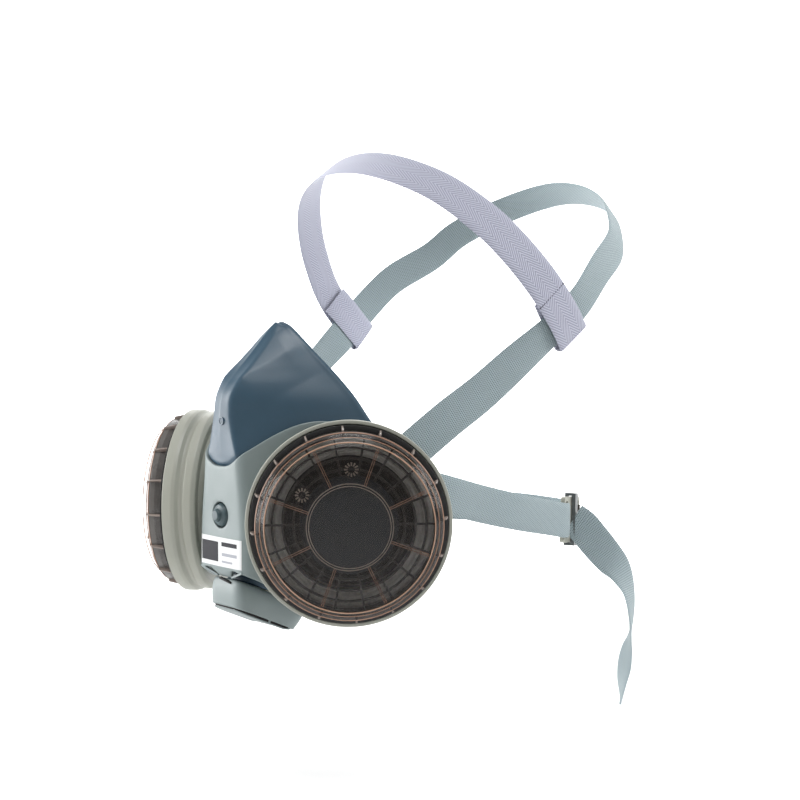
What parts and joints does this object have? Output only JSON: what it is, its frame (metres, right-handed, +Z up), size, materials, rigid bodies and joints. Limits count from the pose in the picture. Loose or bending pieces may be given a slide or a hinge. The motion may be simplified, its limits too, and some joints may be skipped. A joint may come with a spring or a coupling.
{
  "type": "half mask respirator",
  "caption": "Half mask respirator with a silicone facepiece, round side filters, a fit-check button and worn head straps.",
  "frame": {"origin": "middle of the opening in the facepiece that seals on the face", "axes": "+Z up the face, +Y into the wearer's face, +X to the wearer's left"},
  "size_m": [0.191, 0.2534, 0.2888],
  "materials": {
    "silicone": "satin",
    "light_plastic": "satin",
    "white_plastic": "satin",
    "slate_plastic": "satin",
    "smoke_plastic": "clear smoky brown",
    "dark_plastic": "matte",
    "media": "matte felt",
    "gasket_rubber": "matte",
    "valve_rubber": "matte",
    "label": "satin",
    "steel": "bright wire",
    "elastic": "woven",
    "tape": "herringbone weave"
  },
  "bodies": {
    "mask": {"facepiece": "silicone", "front_body": "light_plastic", "label_plate": "label", "button_guide": "light_plastic", "exhalation_valve_seat": "white_plastic", "left_port_collar": "white_plastic", "left_inhalation_valve_seat": "white_plastic", "left_strap_anchor": "light_plastic", "left_anchor_rivets": "white_plastic", "right_port_collar": "white_plastic", "right_inhalation_valve_seat": "white_plastic", "right_strap_anchor": "light_plastic", "right_anchor_rivets": "white_plastic", "upper_head_strap": "elastic", "crown_strap": "tape", "left_lower_strap": "elastic", "right_lower_strap": "elastic", "lower_strap_tail": "elastic", "buckle_frame": "white_plastic"},
    "button": {"fit_check_button": "slate_plastic", "fit_check_plate": "slate_plastic", "button_spring": "steel"},
    "outlet_flap": {"exhalation_valve_disc": "valve_rubber"},
    "outlet_cover": {"exhalation_valve_cover": "light_plastic", "exhalation_cover_plate": "light_plastic"},
    "buckle_slider": {"buckle_bar": "light_plastic"},
    "buckle_catch": {"buckle_hook": "dark_plastic"},
    "left_filter": {"left_filter_housing": "white_plastic", "left_filter_gasket": "gasket_rubber", "left_filter_media": "media", "left_filter_grid": "dark_plastic"},
    "left_cover": {"left_filter_cover": "smoke_plastic", "left_cover_seal": "gasket_rubber"},
    "left_inhalation_flap": {"left_inhalation_valve_disc": "valve_rubber"},
    "right_filter": {"right_filter_housing": "white_plastic", "right_filter_gasket": "gasket_rubber", "right_filter_media": "media", "right_filter_grid": "dark_plastic"},
    "right_cover": {"right_filter_cover": "smoke_plastic", "right_cover_seal": "gasket_rubber"},
    "right_inhalation_flap": {"right_inhalation_valve_disc": "valve_rubber"}
  },
  "joints": [
    {"name": "fit_check_press", "type": "slide", "parent": "mask", "child": "button", "axis": [0, 1, 0], "range_m": [0, 0.003], "stiffness_N_per_m": 400, "springref_m": -0.001, "deforming": ["button_spring"]},
    {"name": "exhalation_flap_lift", "type": "slide", "parent": "mask", "child": "outlet_flap", "axis": [0, -0.4067, -0.9135], "range_m": [0, 0.002], "stiffness_N_per_m": 60, "springref_m": -0.0005},
    {"name": "exhalation_cover_pull", "type": "slide", "parent": "mask", "child": "outlet_cover", "axis": [0, -0.4067, -0.9135], "range_m": [0, 0.02]},
    {"name": "buckle_bar_slide", "type": "slide", "parent": "mask", "child": "buckle_slider", "axis": [-0.4099, 0.9079, -0.0872], "range_m": [-0.002, 0.002]},
    {"name": "buckle_hook_release", "type": "slide", "parent": "mask", "child": "buckle_catch", "axis": [-0.9114, -0.4115, 0], "range_m": [0, 0.004]},
    {"name": "left_filter_twist", "type": "hinge", "parent": "mask", "child": "left_filter", "pos_m": [0.0628, -0.0287, -0.0202], "axis": [0.7891, -0.6143, 0], "range_deg": [0, 90]},
    {"name": "left_cover_twist", "type": "hinge", "parent": "left_filter", "child": "left_cover", "pos_m": [0.0628, -0.0287, -0.0202], "axis": [0.7891, -0.6143, 0], "range_deg": [0, 30]},
    {"name": "left_inhalation_flap_lift", "type": "slide", "parent": "mask", "child": "left_inhalation_flap", "axis": [-0.7891, 0.6143, 0], "range_m": [0, 0.0015], "stiffness_N_per_m": 60, "springref_m": -0.0005},
    {"name": "right_filter_twist", "type": "hinge", "parent": "mask", "child": "right_filter", "pos_m": [-0.0628, -0.0287, -0.0202], "axis": [-0.7891, -0.6143, 0], "range_deg": [0, 90]},
    {"name": "right_cover_twist", "type": "hinge", "parent": "right_filter", "child": "right_cover", "pos_m": [-0.0628, -0.0287, -0.0202], "axis": [-0.7891, -0.6143, 0], "range_deg": [0, 30]},
    {"name": "right_inhalation_flap_lift", "type": "slide", "parent": "mask", "child": "right_inhalation_flap", "axis": [0.7891, 0.6143, 0], "range_m": [0, 0.0015], "stiffness_N_per_m": 60, "springref_m": -0.0005}
  ]
}
